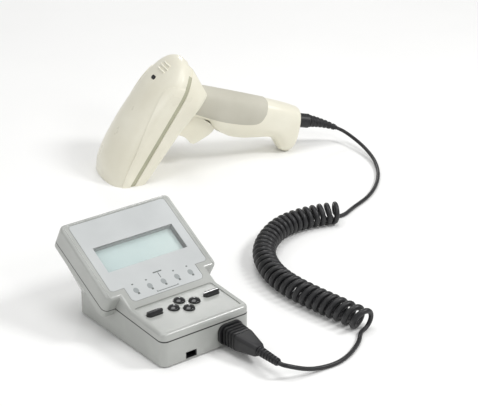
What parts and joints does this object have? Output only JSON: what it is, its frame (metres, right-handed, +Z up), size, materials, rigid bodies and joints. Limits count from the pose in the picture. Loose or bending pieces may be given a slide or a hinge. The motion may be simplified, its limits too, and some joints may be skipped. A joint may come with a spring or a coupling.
{
  "type": "barcode verifier",
  "caption": "Desktop barcode verifier: keyed console with tilted text display, and a cabled hand scanner joined by a curly cord",
  "frame": {"origin": "on the surface that the console and the scanner stand on, at the middle of the box round those two units, cord left out", "axes": "+Z up, +Y from the console's key deck towards its display, +X to the console's right"},
  "size_m": [0.432, 0.4604, 0.1143],
  "materials": {
    "case_grey": "fine-textured moulded plastic",
    "label_grey": "satin printed film",
    "clear_pane": "clear polished window",
    "lcd_glass": "pale blue-grey display cell",
    "plated_steel": "bright plated steel",
    "board_green": "solder-masked board",
    "led_lens": "frosted lens, unlit",
    "key_black": "satin moulded keycap",
    "mat_rubber": "moulded silicone mat",
    "black_plastic": "moulded plastic",
    "cell_jacket": "plain cell jacket",
    "foot_rubber": "dark rubber",
    "scanner_cream": "fine-textured moulded plastic",
    "grip_rubber": "soft overmoulded rubber",
    "red_window": "dark red filter",
    "engine_metal": "black cast body",
    "lens_glass": "coated lens",
    "cord_black": "satin moulded jacket"
  },
  "bodies": {
    "stand": {"upper_housing": "case_grey", "lower_housing": "case_grey", "face_label": "label_grey", "window_pane": "clear_pane", "lcd_panel": "lcd_glass", "lcd_frame": "plated_steel", "lcd_board": "board_green", "lcd_screws": "plated_steel", "indicator_leds": "led_lens", "led_board": "board_green", "keypad_mat": "mat_rubber", "keypad_board": "board_green", "keypad_screws": "plated_steel", "main_board": "board_green", "beeper": "black_plastic", "service_jack": "black_plastic", "cord_socket": "black_plastic", "battery_cells": "cell_jacket", "battery_contacts": "plated_steel", "rubber_feet": "foot_rubber", "case_screws": "plated_steel", "head_cover": "scanner_cream", "scanner_housing": "scanner_cream", "rubber_grip": "grip_rubber", "trigger_pin": "plated_steel", "trigger_spring": "plated_steel", "trigger_switch": "black_plastic", "nose_frame": "black_plastic", "scan_window": "red_window", "illumination_board": "board_green", "imaging_engine": "engine_metal", "engine_lens": "lens_glass", "scanner_board": "board_green", "sounder": "black_plastic", "status_lens": "black_plastic", "handle_gland": "foot_rubber", "plug_body": "cord_black", "plug_relief": "cord_black", "lower_cord": "cord_black", "curly_cord": "cord_black", "upper_cord": "cord_black", "handle_relief": "cord_black"},
    "key_left_bar": {"key_left_bar": "key_black"},
    "key_right_bar": {"key_right_bar": "key_black"},
    "key_front": {"key_front": "key_black"},
    "key_back": {"key_back": "key_black"},
    "key_left": {"key_left": "key_black"},
    "key_right": {"key_right": "key_black"},
    "battery_door": {"battery_door": "case_grey"},
    "trigger": {"trigger": "scanner_cream"}
  },
  "joints": [
    {"name": "key_left_bar_press", "type": "slide", "parent": "stand", "child": "key_left_bar", "axis": [0, 0.0643, -0.9979], "range_m": [0, 0.0007], "stiffness_N_per_m": 1200, "springref_m": -0.0003},
    {"name": "key_right_bar_press", "type": "slide", "parent": "stand", "child": "key_right_bar", "axis": [0, 0.0643, -0.9979], "range_m": [0, 0.0007], "stiffness_N_per_m": 1200, "springref_m": -0.0003},
    {"name": "key_front_press", "type": "slide", "parent": "stand", "child": "key_front", "axis": [0, 0.0643, -0.9979], "range_m": [0, 0.0007], "stiffness_N_per_m": 1200, "springref_m": -0.0003},
    {"name": "key_back_press", "type": "slide", "parent": "stand", "child": "key_back", "axis": [0, 0.0643, -0.9979], "range_m": [0, 0.0007], "stiffness_N_per_m": 1200, "springref_m": -0.0003},
    {"name": "key_left_press", "type": "slide", "parent": "stand", "child": "key_left", "axis": [0, 0.0643, -0.9979], "range_m": [0, 0.0007], "stiffness_N_per_m": 1200, "springref_m": -0.0003},
    {"name": "key_right_press", "type": "slide", "parent": "stand", "child": "key_right", "axis": [0, 0.0643, -0.9979], "range_m": [0, 0.0007], "stiffness_N_per_m": 1200, "springref_m": -0.0003},
    {"name": "battery_door_slide", "type": "slide", "parent": "stand", "child": "battery_door", "axis": [0, 1, 0], "range_m": [0, 0.06]},
    {"name": "trigger_pull", "type": "hinge", "parent": "stand", "child": "trigger", "pos_m": [0.07385, 0.13176, 0.05588], "axis": [-0.2924, -0.9563, 0], "range_deg": [0, 7], "stiffness_Nm_per_rad": 0.5, "springref_deg": -4.58}
  ]
}
